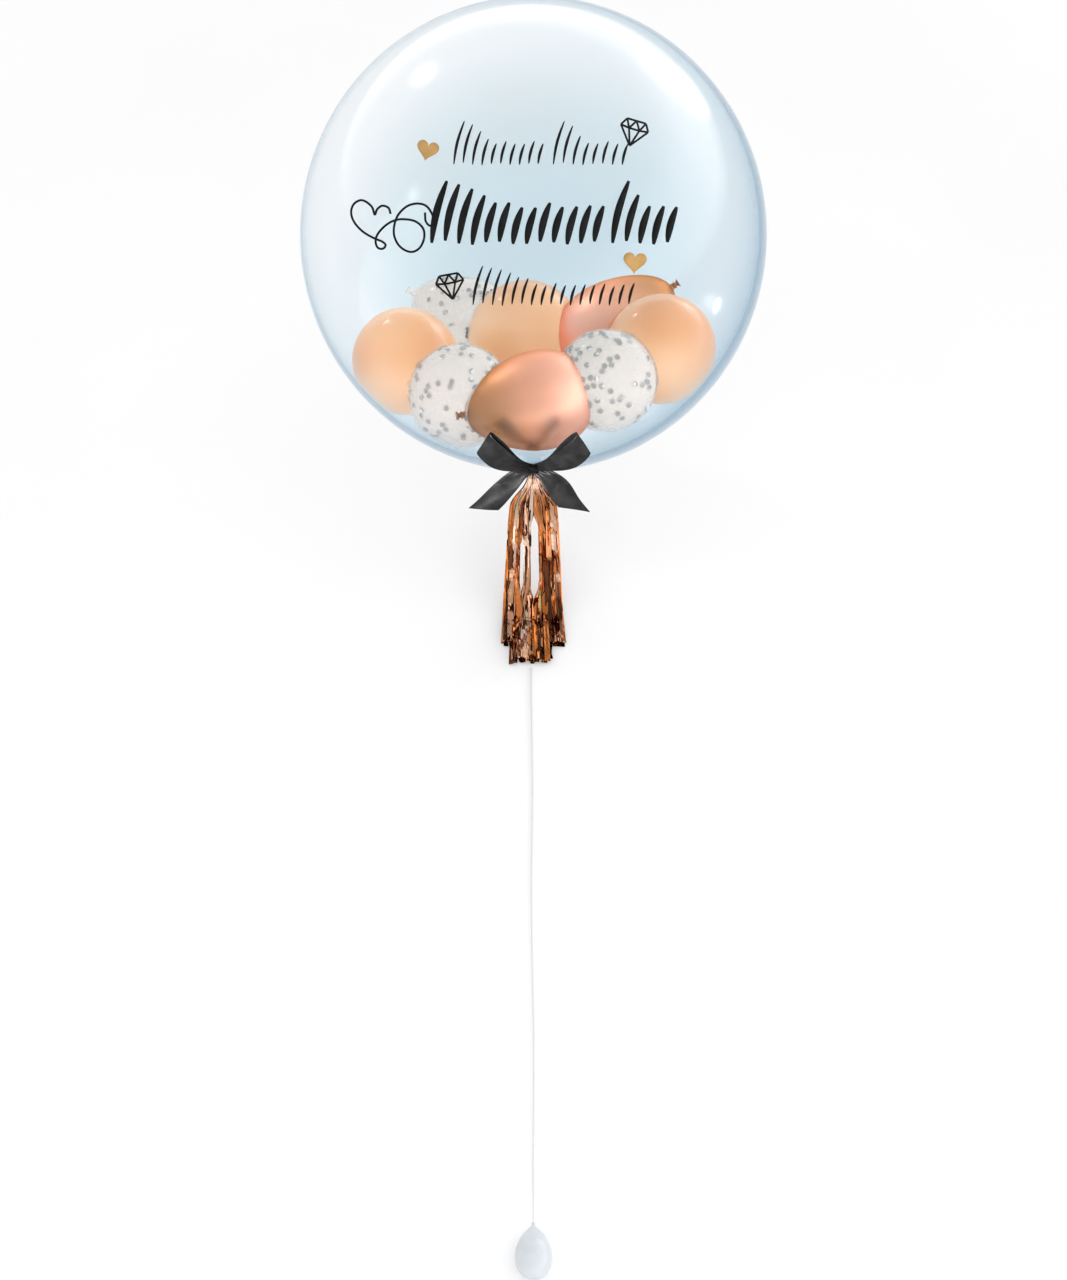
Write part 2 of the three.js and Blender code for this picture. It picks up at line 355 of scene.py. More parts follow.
def thicken(piece, thickness):
    sheet = piece.modifiers.new("thickness", "SOLIDIFY")
    sheet.thickness = thickness
    sheet.offset = 0


def lightGroup(name):
    # pieces that a lamp of their own shines on
    group = bpy.data.collections.new(name)
    scene.collection.children.link(group)
    return group


filmOnly = lightGroup("filmOnly")
chromeOnes = lightGroup("chromeOnes")
satin = lightGroup("satin")


def gridFaces(rows, columns, closed=False, first=0):
    # quads between rows of points, the last column joined to the first where closed
    faces = []
    for row in range(rows - 1):
        for column in range(columns if closed else columns - 1):
            here = first + row * columns + column
            beside = first + row * columns + (column + 1) % columns
            faces.append((here, here + columns, beside + columns, beside))
    return faces


def turnedSurface(profile, around, shaped=None, first=0):
    # profile: (radius, height) pairs from an end on the axis to the other end on the axis
    points = [Vector((0, 0, profile[0][1]))]
    for radius, height in profile[1:-1]:
        for step in range(around):
            turn = 2 * math.pi * step / around
            reach = shaped(radius, turn, height) if shaped else radius
            points.append(Vector((reach * math.cos(turn), reach * math.sin(turn), height)))
    points.append(Vector((0, 0, profile[-1][1])))
    rings = len(profile) - 2
    last = first + len(points) - 1
    faces = gridFaces(rings, around, True, first + 1)
    for step in range(around):
        after = (step + 1) % around
        faces.append((first, first + 1 + step, first + 1 + after))
        faces.append((last, last - around + after, last - around + step))
    return points, faces


def smoothLine(corners, steps):
    # a smooth line through the corners, with so many steps between each two
    ends = [corners[0] * 2 - corners[1], *corners, corners[-1] * 2 - corners[-2]]
    line = []
    for before, start, end, after in zip(ends, ends[1:], ends[2:], ends[3:]):
        for step in range(steps):
            t = step / steps
            line.append(0.5 * (start * 2 + (end - before) * t
                               + (before * 2 - start * 5 + end * 4 - after) * t * t
                               + (start * 3 - before - end * 3 + after) * t * t * t))
    line.append(corners[-1].copy())
    return line


def blendOf(low, high, value):
    # 0 below low, 1 above high, a smooth step between
    share = min(1.0, max(0.0, (value - low) / (high - low)))
    return share * share * (3 - 2 * share)


def mix(start, end, share):
    return start + (end - start) * share


# String: lies straight along the floor from the tassel to the weight

string = {
    "diameter": 0.002,
    "gap": 0.0003,          # between the tassel's tip and its end
    "lies": 0.00105,        # height of its middle above the floor
    "tiedIn": 0.009,        # how far its end runs on into the weight's knot
    "tiedInRise": 0.001,
    "route": [              # across, distance in front of the tassel's tip, height above where it lies
        (-0.0030, 0.000, 0), (-0.0030, 0.008, 0), (-0.0028, 0.040, 0), (-0.0020, 0.090, 0),
        (-0.0012, 0.145, 0), (-0.0010, 0.200, 0), (-0.0016, 0.255, 0), (-0.0022, 0.310, 0),
        (-0.0020, 0.365, 0), (-0.0012, 0.420, 0), (-0.0002, 0.475, 0), (0.0005, 0.530, 0),
        (0.0005, 0.585, 0), (0.0001, 0.635, 0), (-0.0001, 0.675, 0), (0.0000, 0.700, 0.0003),
        (0.0000, 0.718, 0.0022), (0.0000, 0.732, 0.0054), (0.0000, 0.739, 0.0072),
    ],
}
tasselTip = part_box("tassel")[0].y


def makeString():
    start = tasselTip - string["gap"]
    route = []
    for across, ahead, rise in string["route"]:
        route.append(Vector((across, start - ahead, string["lies"] + rise)))
    line = smoothLine(route, 4)
    line.append(line[-1] + Vector((0, -string["tiedIn"], string["tiedInRise"])))
    data = bpy.data.curves.new("stringCord", "CURVE")
    data.dimensions = "3D"
    data.bevel_depth = string["diameter"] / 2
    data.bevel_resolution = 3
    data.use_fill_caps = True
    spline = data.splines.new("POLY")
    spline.points.add(len(line) - 1)
    for point, place in zip(spline.points, line):
        point.co = (*place, 1)
    data.materials.append(whiteString)
    piece = bpy.data.objects.new("stringCord", data)
    scene.collection.objects.link(piece)
    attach(piece, body)
    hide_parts("string")
    length = sum((b - a).length for a, b in zip(line, line[1:]))
    return piece, line, length


stringPiece, stringLine, stringLength = makeString()
print("bubble balloon: string", round(stringLength, 4), "m")


# Film: an outer and an inner wall, thicker towards the neck and the right

film = {
    "around": 256,
    "down": 150,
    "innerEdge": 0.74,          # how near to its full edge colour the inner wall gets
    "crownWall": 0.002,
    "neckWall": 0.0105,
    "rightWall": 0.0100,
    "sphereEnds": 0.028,        # radius at which the sphere turns into the neck
    "neck": [(0.0185, -0.3052), (0.0118, -0.3070), (0.0080, -0.3095), (0.0068, -0.3125),
             (0.0068, -0.3165), (0.0076, -0.3192), (0.0086, -0.3210)],
    "neckDome": 0.0002,         # how far the neck's end bulges
    "pleats": 17,
    "pleatDepth": 0.0011,
    "pleatsUneven": 0.8,
    "pleatsFrom": 158.0,        # degrees from the crown
    "pleatsFull": 178.0,
    "pleatsFade": 0.007,        # radius below which they fade out again
    "least": 0.001,             # radius
}


def sphereProfile(radius, lastTurn, raised=0.0):
    # (radius, height) pairs down a sphere from its top
    profile = []
    for step in range(film["down"] + 1):
        turn = lastTurn * step / film["down"]
        profile.append((radius * math.sin(turn), raised + radius * math.cos(turn)))
    return profile


def pleated(reach, turn, height):
    # the film's radius where it is gathered to the neck
    down = math.degrees(math.atan2(reach, height))
    share = blendOf(film["pleatsFrom"], film["pleatsFull"], down) ** 2
    wave = math.cos(film["pleats"] * turn + film["pleatsUneven"] * math.sin(3 * turn))
    pleat = film["pleatDepth"] * share * wave * min(1.0, reach / film["pleatsFade"])
    return max(film["least"], reach + pleat)


def makeFilm():
    radius = bubble["radius"]
    outer = sphereProfile(radius, math.pi - math.asin(film["sphereEnds"] / radius))
    neck = smoothLine([Vector((*outer[-1], 0))] + [Vector((*place, 0)) for place in film["neck"]], 4)
    outer += [(place.x, place.y) for place in neck[1:]]
    outer.append((0, film["neck"][-1][1] - film["neckDome"]))
    points, faces = turnedSurface(outer, film["around"], pleated)

    # the inner wall is a smaller sphere, moved up the axis and to the left
    inside = radius - (film["crownWall"] + film["neckWall"]) / 2
    shift = (film["neckWall"] - film["crownWall"]) / 2
    aside = Vector((inside + film["rightWall"] - radius, 0, 0))
    inner = sphereProfile(inside, math.pi, shift)
    innerPoints, innerFaces = turnedSurface(inner, film["around"], first=len(points))
    innerPoints = [point - aside for point in innerPoints]
    faces += [tuple(reversed(face)) for face in innerFaces]

    placed = [upright @ point for point in points + innerPoints]
    for point in placed:
        point.z = max(point.z, 0.0)                    # lies on its flat spot
    piece = makePiece("bubbleFilm", placed, faces, clearFilm, ["bubble"])
    markPoints(piece, "wall", [1.0] * len(points) + [film["innerEdge"]] * len(innerPoints))
    filmOnly.objects.link(piece)
    piece.visible_shadow = False                       # clear film casts next to no shadow,
    piece.visible_diffuse = False                      # and hardly dims the light inside
    return inside, upright @ (Vector((0, 0, shift)) - aside)


filmInside, filmMiddle = makeFilm()
print("bubble balloon: film")


# Small balloons in the pile, the front ones first: those behind yield to them

balloonShape = {
    "around": 72,
    "down": 56,
    "taper": 0.36,
    "widest": 0.853,            # how wide the tapered shape gets, for a half width of 1
    "bodyEnds": 0.968,          # of a half turn, where the body passes into the neck
    # neck, knot and lip: radius, distance below the body's end
    "tail": [(0.00408, 0.0022), (0.00306, 0.0032), (0.0046, 0.0044), (0.0046, 0.0056), (0.00272, 0.0070),
             (0.0034, 0.0090), (0.0056, 0.0108), (0.005264, 0.0114), (0.00204, 0.0100)],
    "tailEnd": 0.0097,
    "filmGap": 0.0015,          # room left to the film
    "hazeInset": 0.0030,        # from a milky balloon's skin to the haze behind its confetti
}
# how a point of a balloon behind is moved out of the one in front
pressing = {
    "near": 1.05,               # nearer than so many half lengths it may touch
    "firstTry": 1.2,
    "grow": 1.5,
    "furthest": 60,
    "halvings": 12,
    "gap": 1.004,               # leaves a hair between the two skins
}
pile = {
    "balloonChromeFront": {
        "finish": chromeLatex, "slot": "chrome_latex", "halfWidth": 0.0655, "halfLength": 0.087,
        "centre": (-0.006, -0.214, 0.219), "crown": (0.93, 0.345, -0.109)},
    "balloonConfettiRight": {
        "finish": milkyLatex, "slot": "clear_latex", "halfWidth": 0.068, "halfLength": 0.076,
        "centre": (0.0915, -0.166, 0.210), "crown": (0.2, -0.70, 0.68)},
    "balloonConfettiLeft": {
        "finish": milkyLatex, "slot": "clear_latex", "halfWidth": 0.0695, "halfLength": 0.076,
        "centre": (-0.091, -0.177, 0.194), "crown": (-0.25, -0.72, 0.62)},
    "balloonPearlRight": {
        "finish": pearlLatex, "slot": "pearl_latex", "halfWidth": 0.0735, "halfLength": 0.081,
        "centre": (0.163, -0.099, 0.198), "crown": (0.35, -0.60, 0.70)},
    "balloonPearlLeft": {
        "finish": pearlLatex, "slot": "pearl_latex", "halfWidth": 0.0722, "halfLength": 0.08,
        "centre": (-0.165, -0.100, 0.178), "crown": (-0.30, -0.66, 0.66)},
    "balloonChromeBack": {
        "finish": chromeLatex, "slot": "chrome_latex", "halfWidth": 0.0665, "halfLength": 0.089,
        "centre": (0.114, -0.027, 0.173), "crown": (-0.815, -0.35, -0.45)},
    "balloonPearlBack": {
        "finish": pearlLatex, "slot": "pearl_latex", "halfWidth": 0.082, "halfLength": 0.089,
        "centre": (-0.009, -0.004, 0.121), "crown": (-0.1, -0.62, 0.75)},
    "balloonConfettiBack": {
        "finish": milkyLatex, "slot": "clear_latex", "halfWidth": 0.066, "halfLength": 0.083,
        "centre": (-0.094, 0.043, 0.112), "crown": (0.88, -0.30, -0.36)},
}


def widthAt(spec, share):
    # half width of the balloon at so much of its half length, from 1 at the crown to -1 at the neck
    side = math.sqrt(max(0.0, 1 - share * share))
    return spec["halfWidth"] * side * (1 - balloonShape["taper"] * (1 - share) / 2) / balloonShape["widest"]


def depthIn(spec, point):
    # below 1 inside that balloon
    offset = point - Vector(spec["centre"])
    axis = Vector(spec["crown"]).normalized()
    share = offset.dot(axis) / spec["halfLength"]
    if abs(share) >= 0.999:
        return abs(share) + 0.01                       # past its ends
    return (offset - axis * offset.dot(axis)).length / widthAt(spec, share)


def yieldTo(spec, point):
    # moves the point out of the balloon in front, onto its surface
    centre = Vector(spec["centre"])
    if (point - centre).length > spec["halfLength"] * pressing["near"] or depthIn(spec, point) >= 1:
        return point
    low = 1.0
    high = pressing["firstTry"]
    while depthIn(spec, centre + (point - centre) * high) < 1 and high < pressing["furthest"]:
        low = high
        high = high * pressing["grow"]
    for _ in range(pressing["halvings"]):
        middle = (low + high) / 2
        if depthIn(spec, centre + (point - centre) * middle) < 1:
            low = middle
        else:
            high = middle
    return centre + (point - centre) * high * pressing["gap"]


def balloonPlace(front, point):
    # where the point comes to lie between the balloons in front and the film
    for other in front:
        point = yieldTo(other, point)
    offset = point - filmMiddle
    return filmMiddle + offset * min(1.0, (filmInside - balloonShape["filmGap"]) / offset.length)


def makeBalloon(name, spec, front):
    turnTo = Vector(spec["crown"]).to_track_quat("Z", "Y").to_matrix().to_4x4()
    place = Matrix.Translation(spec["centre"]) @ turnTo
    length = spec["halfLength"]
    down = balloonShape["down"]
    profile = []
    for step in range(down + 1):
        share = math.cos(balloonShape["bodyEnds"] * math.pi * step / down)
        profile.append((widthAt(spec, share), share * length))
    profile[0] = (0, length)
    reach, end = profile[-1]
    corners = [Vector((radius, end - below, 0)) for radius, below in balloonShape["tail"]]
    tail = smoothLine([Vector((reach, end, 0)), *corners], 3)
    profile += [(spot.x, spot.y) for spot in tail[1:]]
    profile.append((0, end - balloonShape["tailEnd"]))
    points, faces = turnedSurface(profile, balloonShape["around"])
    placed = [balloonPlace(front, place @ point) for point in points]
    fromNeck = [min(1.0, max(0.0, (point.z / length + 1) / 2)) for point in points]
    outerFaces = len(faces)
    milky = spec["finish"] == milkyLatex
    if milky:
        # its haze is the same skin again, a little further in
        centre = Vector(spec["centre"])
        first = len(placed)
        placed += [spot + (centre - spot).normalized() * balloonShape["hazeInset"] for spot in placed]
        faces += [tuple(first + corner for corner in reversed(face)) for face in faces]
        fromNeck += fromNeck
    piece = makePiece(name, placed, faces, spec["finish"])
    markPoints(piece, "fromNeck", fromNeck)
    if milky:
        piece.data.materials.append(hazyLatex)
        for face in piece.data.polygons[outerFaces:]:
            face.material_index = 1
    return piece


# Silver confetti that clings inside the milky balloons

confetti = {
    "radius": 0.0037,
    "thickness": 0.00025,
    "sides": 12,
    "count": 170,
    "inset": 0.0010,            # from the balloon's skin
    "scatter": 0.0006,          # how much deeper some lie
    "tilt": 0.096,
    "neckClear": -0.8,          # none nearer to the neck than this, from -1 at the neck to 1 at the crown
}


def makeConfetti(name, spec, front, seed):
    dice = random.Random(seed)
    points = []
    faces = []
    centre = Vector(spec["centre"])
    axis = Vector(spec["crown"]).normalized()
    sides = confetti["sides"]
    for _ in range(confetti["count"]):
        way = Vector([dice.gauss(0, 1) for _ in range(3)]).normalized()
        share = way.dot(axis)
        if share < confetti["neckClear"]:
            continue
        sideways = (way - axis * share).normalized()
        spot = centre + axis * share * spec["halfLength"] + sideways * widthAt(spec, share)
        spot = balloonPlace(front, spot)
        inwards = (centre - spot).normalized()
        spot += inwards * (confetti["inset"] + confetti["scatter"] * dice.random())
        facing = (inwards + confetti["tilt"] * Vector([dice.gauss(0, 1) for _ in range(3)])).normalized()
        turnTo = facing.to_track_quat("Z", "Y").to_matrix()
        first = len(points)
        for level in (-0.5, 0.5):
            for side in range(sides):
                turn = 2 * math.pi * side / sides
                flat = Vector((math.cos(turn), math.sin(turn), 0)) * confetti["radius"]
                points.append(spot + turnTo @ (flat + Vector((0, 0, level * confetti["thickness"]))))
        faces.append(tuple(first + sides - 1 - side for side in range(sides)))
        faces.append(tuple(first + sides + side for side in range(sides)))
        for side in range(sides):
            here = first + side
            beside = first + (side + 1) % sides
            faces.append((here, beside, beside + sides, here + sides))
    makePiece(name, points, faces, silverConfetti, smooth=False)


def makePile():
    front = []
    for number, (name, spec) in enumerate(pile.items()):
        balloon = makeBalloon(name, spec, front)
        balloon.visible_diffuse = False                # keeps its colour off the pale floor
        if spec["finish"] == chromeLatex:
            chromeOnes.objects.link(balloon)
        if spec["finish"] == milkyLatex:
            balloon.visible_shadow = False             # light gets through to the confetti
            makeConfetti(name.replace("balloonConfetti", "confetti"), spec, front, 40 + number)
        front.append(spec)


makePile()
print("bubble balloon: pile of small balloons")


# Vinyl cut-outs on the film's front

vinyl = {
    "lift": 0.00025,            # its underside above the film
    "thickness": 0.00035,
    "raise": 0.0052,            # how far up the picture all of it is moved
}


def onFilm(across, up, lift):
    # a spot given in metres across and up on the picture plane through the bubble's middle, put on the film
    aim = bubbleCentre + pictureRight * across + pictureUp * (up + vinyl["raise"])
    way = (aim - cameraPoint).normalized()
    nearest = (bubbleCentre - cameraPoint).dot(way)
    miss = (cameraPoint + way * nearest - bubbleCentre).length
    reach = bubble["radius"] + lift
    return cameraPoint + way * (nearest - math.sqrt(reach * reach - miss * miss))


def strokeOnFilm(points, faces, line, widths):
    # a closed flat ribbon along the line of (across, up) spots, as wide as widths say
    first = len(points)
    count = len(line)
    for number, spot in enumerate(line):
        along = (line[min(count - 1, number + 1)] - line[max(0, number - 1)]).normalized()
        side = Vector((-along.y, along.x, 0)) * widths[number] / 2
        for edge, lift in ((side, 0), (side, 1), (-side, 1), (-side, 0)):
            there = spot + edge
            points.append(onFilm(there.x, there.y, vinyl["lift"] + lift * vinyl["thickness"]))
    faces += gridFaces(count, 4, True, first)
    faces.append((first, first + 1, first + 2, first + 3))
    end = first + 4 * (count - 1)
    faces.append((end + 3, end + 2, end + 1, end))


def flatShapeOnFilm(points, faces, outline, middle):
    # a closed flat shape, filled from its middle
    first = len(points)
    count = len(outline)
    for lift in (0, vinyl["thickness"]):
        for share in (1.0, 0.5):
            for spot in outline:
                there = middle + (spot - middle) * share
                points.append(onFilm(there.x, there.y, vinyl["lift"] + lift))
        points.append(onFilm(middle.x, middle.y, vinyl["lift"] + lift))
    level = 2 * count + 1
    for step in range(count):
        after = (step + 1) % count
        low = first + step
        lowAfter = first + after
        faces.append((low, low + level, lowAfter + level, lowAfter))
        for base, flip in ((first, False), (first + level, True)):
            ring = (base + step, base + after, base + count + after, base + count + step)
            fan = (base + count + step, base + count + after, base + 2 * count)
            faces.append(tuple(reversed(ring)) if flip else ring)
            faces.append(tuple(reversed(fan)) if flip else fan)


def heartLine(size, steps):
    # the well-known heart curve, as wide as size, round its middle
    line = []
    for step in range(steps):
        turn = 2 * math.pi * step / steps
        across = 16 * math.sin(turn) ** 3
        up = 13 * math.cos(turn) - 5 * math.cos(2 * turn) - 2 * math.cos(3 * turn) - math.cos(4 * turn)
        line.append(Vector((across, up + 2, 0)) * size / 32)
    return line


hearts = {
    "left": {"at": (-0.1385, 0.1080), "size": 0.029, "turn": 14.0},
    "right": {"at": (0.1335, -0.0360), "size": 0.031, "turn": 4.0},
}


def makeHearts():
    points = []
    faces = []
    for heart in hearts.values():
        turnTo = Matrix.Rotation(-math.radians(heart["turn"]), 3, "Z")
        middle = Vector((*heart["at"], 0))
        outline = [middle + turnTo @ spot for spot in heartLine(heart["size"], 40)]
        flatShapeOnFilm(points, faces, outline, middle)
    makePiece("vinylHearts", points, faces, goldVinyl)


diamonds = {
    "line": 0.0027,
    "right": {"at": (0.1305, 0.1330), "width": 0.037, "turn": -16.0},
    "left": {"at": (-0.1100, -0.0640), "width": 0.037, "turn": 10.0},
}
# a cut stone seen from the side: girdle corners, table corners and the point, for a width of 1
stoneCorners = {
    "girdleLeft": (-0.5, 0.10),
    "girdleRight": (0.5, 0.10),
    "tableLeft": (-0.34, 0.36),
    "tableMiddle": (0.0, 0.36),
    "tableRight": (0.34, 0.36),
    "girdleInnerLeft": (-0.19, 0.06),
    "girdleInnerRight": (0.19, 0.06),
    "tip": (0.0, -0.52),
}
stoneLines = [
    ("girdleLeft", "tableLeft"), ("tableLeft", "tableRight"), ("tableRight", "girdleRight"),
    ("girdleRight", "tip"), ("tip", "girdleLeft"), ("girdleLeft", "girdleInnerLeft"),
    ("girdleInnerLeft", "girdleInnerRight"), ("girdleInnerRight", "girdleRight"),
    ("tableLeft", "girdleInnerLeft"), ("girdleInnerLeft", "tableMiddle"), ("tableMiddle", "girdleInnerRight"),
    ("girdleInnerRight", "tableRight"), ("girdleInnerLeft", "tip"), ("girdleInnerRight", "tip"),
]


def addDiamond(points, faces, stone):
    turnTo = Matrix.Rotation(math.radians(stone["turn"]), 3, "Z")
    middle = Vector((*stone["at"], 0))
    for startName, endName in stoneLines:
        start = middle + turnTo @ Vector((*stoneCorners[startName], 0)) * stone["width"]
        end = middle + turnTo @ Vector((*stoneCorners[endName], 0)) * stone["width"]
        line = [mix(start, end, step / 4) for step in range(5)]
        strokeOnFilm(points, faces, line, [diamonds["line"]] * 5)


# rows of plain slanting strokes, pointed at both ends and none joined to the next
strokeRows = {
    "upper": {"groups": [(-0.104, 0.006), (0.026, 0.116)], "foot": 0.091, "weight": 0.0038, "step": 0.0125,
              "tall": 0.052, "low": 0.027},
    "middle": {"groups": [(-0.134, 0.080), (0.104, 0.176)], "foot": -0.010, "weight": 0.0098, "step": 0.0180,
               "tall": 0.076, "low": 0.048},
    "lower": {"groups": [(-0.080, 0.126)], "foot": -0.090, "weight": 0.0038, "step": 0.0125,
              "tall": 0.048, "low": 0.026},
}
strokeShape = {
    "slant": 0.26,
    "bend": 0.045,              # of its height
    "steps": 12,
    "point": 0.12,              # how wide its ends stay, beside its middle
    "swell": 0.6,               # lower is fuller
    "lowFrom": 0.05,            # where along a group the strokes start getting lower
    "lowBy": 0.45,              # and where they are done
    "heightVaries": 0.05,
    "footVaries": 0.04,
}


def addStroke(points, faces, foot, height, weight):
    line = []
    widths = []
    for step in range(strokeShape["steps"] + 1):
        along = step / strokeShape["steps"]
        rise = height * along
        bend = strokeShape["bend"] * height * math.sin(math.pi * along)
        line.append(foot + Vector((rise * strokeShape["slant"] - bend, rise, 0)))
        swell = math.sin(math.pi * mix(0.06, 0.94, along)) ** strokeShape["swell"]
        widths.append(weight * max(strokeShape["point"], swell))
    strokeOnFilm(points, faces, line, widths)


def addStrokeRow(points, faces, row):
    # each group of strokes starts tall and gets lower
    for start, end in row["groups"]:
        count = round((end - start) / row["step"])
        for number in range(count + 1):
            share = number / count
            lowered = blendOf(strokeShape["lowFrom"], strokeShape["lowBy"], share)
            varied = 1 + strokeShape["heightVaries"] * math.cos(2.4 * number)
            height = mix(row["tall"], row["low"], lowered) * varied
            sunk = strokeShape["footVaries"] * height * math.sin(1.7 * number)
            foot = Vector((start + (end - start) * share, row["foot"] + sunk, 0))
            addStroke(points, faces, foot, height, row["weight"])


flourish = {
    "line": 0.0030,
    "heart": [
        (-0.1874, 0.0274), (-0.1902, 0.0353), (-0.1982, 0.0380), (-0.2051, 0.0333), (-0.2083, 0.0266),
        (-0.2123, 0.0372), (-0.2244, 0.0451), (-0.2352, 0.0404), (-0.2392, 0.0294), (-0.2352, 0.0167),
        (-0.2244, 0.0049), (-0.2103, -0.0034), (-0.1990, -0.0081), (-0.1946, -0.0128), (-0.1982, -0.0172),
        (-0.2043, -0.0164), (-0.2075, -0.0101), (-0.2063, -0.0014), (-0.1998, 0.0077), (-0.1882, 0.0167),
    ],
    "loops": [
        (-0.1741, 0.0207), (-0.1560, 0.0183), (-0.1451, 0.0089), (-0.1439, -0.0041), (-0.1500, -0.0164),
        (-0.1612, -0.0215), (-0.1741, -0.0160), (-0.1821, -0.0041), (-0.1833, 0.0097), (-0.1781, 0.0254),
        (-0.1660, 0.0372), (-0.1520, 0.0408), (-0.1399, 0.0372), (-0.1323, 0.0254), (-0.1315, 0.0152),
        (-0.1363, 0.0124), (-0.1415, 0.0183), (-0.1423, 0.0294),
    ],
}


def addFlourish(points, faces):
    line = smoothLine([Vector((*spot, 0)) for spot in flourish["heart"] + flourish["loops"]], 6)
    strokeOnFilm(points, faces, line, [flourish["line"]] * len(line))


def makeCutOuts():
    points = []
    faces = []
    for row in strokeRows.values():
        addStrokeRow(points, faces, row)
    for side in ("left", "right"):
        addDiamond(points, faces, diamonds[side])
    addFlourish(points, faces)
    makePiece("vinylMarks", points, faces, blackVinyl)


makeHearts()
makeCutOuts()
print("bubble balloon: vinyl cut-outs")


# Bow of black satin ribbon, tied round the neck

bow = {
    "tilt": 20.0,                   # degrees
    "ringMiddle": -0.3124,          # on the balloon's axis
    "ringInside": 0.0074,
    "ringOutside": 0.0102,
    "ringHeight": 0.0082,
    "ringEdge": 0.0006,             # how far its edges curl in
    "standOff": 0.0045,             # of the bow's middle in front of the ring
    "thickness": 0.0006,
    "columns": 17,                  # points across the ribbon
    "loopRows": 64,
    "loopFaces": (0.1, 0.88, -0.42),      # across, out, up
    "foldUpper": (0.054, 0.076, 0.053),
    "foldLower": (0.071, 0.062, 0.027),
    "pinch": 0.0055,
    "fullness": 0.009,
    "lift": 0.013,
    "pleat": 0.0011,                # depth of the small pleats by the knot
    "ripple": 0.0012,               # depth of the soft waves further out
    "tailOuterLeft": [(-4, 3, 4), (-28, 8, -2), (-49, 6, -18), (-70, 2, -39), (-84, -3, -52)],     # mm
    "tailInnerLeft": [(2, 3, -5), (-9, 8, -11), (-20, 7, -25), (-35, 3, -43), (-45, -2, -54)],
    "tailOuterRight": [(4, 3, 4), (30, 8, -5), (46, 7, -18), (59, 3, -39), (73, -3, -57)],
    "tailInnerRight": [(-2, 3, -5), (7, 8, -13), (15, 8, -25), (24, 4, -40), (32, 0, -50)],
    "tailPleat": 0.0012,
    "tailCurl": 0.0035,
    "tailWave": 0.0014,
    "knotHalf": (0.0088, 0.0080, 0.0062),
    "knotAhead": 0.003,
    "knotFold": 0.05,
}
bowPlace = (upright @ Matrix.Translation((0, -bow["ringOutside"] - bow["standOff"], bow["ringMiddle"]))
            @ Matrix.Rotation(math.radians(bow["tilt"]), 4, "X"))


def frontSpot(spot):
    across, out, up = spot
    return Vector((across, -out, up))


def makeRibbon(name, rows, columns, points):
    piece = makePiece(name, points, gridFaces(rows, columns), blackSatin)
    satin.objects.link(piece)
    thicken(piece, bow["thickness"])


def makeBowLoop(name, side):
    # side: -1 on the left, 1 on the right
    rows = bow["loopRows"]
    columns = bow["columns"]
    upper = frontSpot((side * bow["foldUpper"][0], *bow["foldUpper"][1:]))
    lower = frontSpot((side * bow["foldLower"][0], *bow["foldLower"][1:]))
    outward = frontSpot((side * bow["loopFaces"][0], *bow["loopFaces"][1:])).normalized()
    points = []
    for row in range(rows):
        turn = math.pi * row / (rows - 1)
        reach = math.sin(turn)
        opened = blendOf(0, 0.75, reach)
        puff = bow["fullness"] * math.sin(2 * turn) * reach + bow["lift"] * math.sin(reach * math.pi)
        middle = (upper + lower) * mix(0.04, 1, reach) / 2 + outward * puff
        half = mix(Vector((0, 0, bow["pinch"])), (upper - lower) / 2, opened)
        for column in range(columns):
            edge = 2 * column / (columns - 1) - 1
            pleat = (1 - opened) ** 0.7 * bow["pleat"] * math.sin(edge * 9.0 + side)
            ripple = bow["ripple"] * math.sin(edge * 3.4 + 2.6 * turn + side) * reach
            points.append(bowPlace @ (middle + half * edge + outward * (pleat + ripple)))
    makeRibbon(name, rows, columns, points)


def makeBowTail(name, outer, inner, side):
    columns = bow["columns"]
    outerLine = smoothLine([frontSpot(spot) * 0.001 for spot in outer], 12)
    innerLine = smoothLine([frontSpot(spot) * 0.001 for spot in inner], 12)
    rows = len(outerLine)
    points = []
    for row, (outerSpot, innerSpot) in enumerate(zip(outerLine, innerLine)):
        along = row / (rows - 1)
        for column in range(columns):
            share = column / (columns - 1)
            pleat = (1 - blendOf(0, 0.4, along)) * bow["tailPleat"] * math.sin(share * 16)
            curl = bow["tailCurl"] * along * math.sin(math.pi * share) * side
            wave = bow["tailWave"] * math.sin(5 * along + 4 * share)
            ahead = pleat + (curl + wave) * blendOf(0, 0.3, along)
            points.append(bowPlace @ (mix(outerSpot, innerSpot, share) - Vector((0, ahead, 0))))
    makeRibbon(name, rows, columns, points)


def makeBowKnot():
    rows = 26
    around = 56
    wide, deep, tall = bow["knotHalf"]
    points = []
    for row in range(rows):
        fall = math.pi * (0.04 + 0.92 * row / (rows - 1))
        reach = math.sin(fall) ** 0.8
        for step in range(around):
            turn = 2 * math.pi * step / around
            fold = 1 + bow["knotFold"] * math.sin(7 * math.cos(turn) + 2.0 * math.sin(fall))
            point = Vector((wide * reach * math.cos(turn),
                            deep * reach * math.sin(turn),
                            tall * math.cos(fall)))
            points.append(bowPlace @ (point * fold - Vector((0, bow["knotAhead"], 0))))
    faces = gridFaces(rows, around, True)
    faces.append(tuple(range(around)))
    last = (rows - 1) * around
    faces.append(tuple(last + around - 1 - step for step in range(around)))
    makePiece("bowKnot", points, faces, blackSatin, ["bow"])


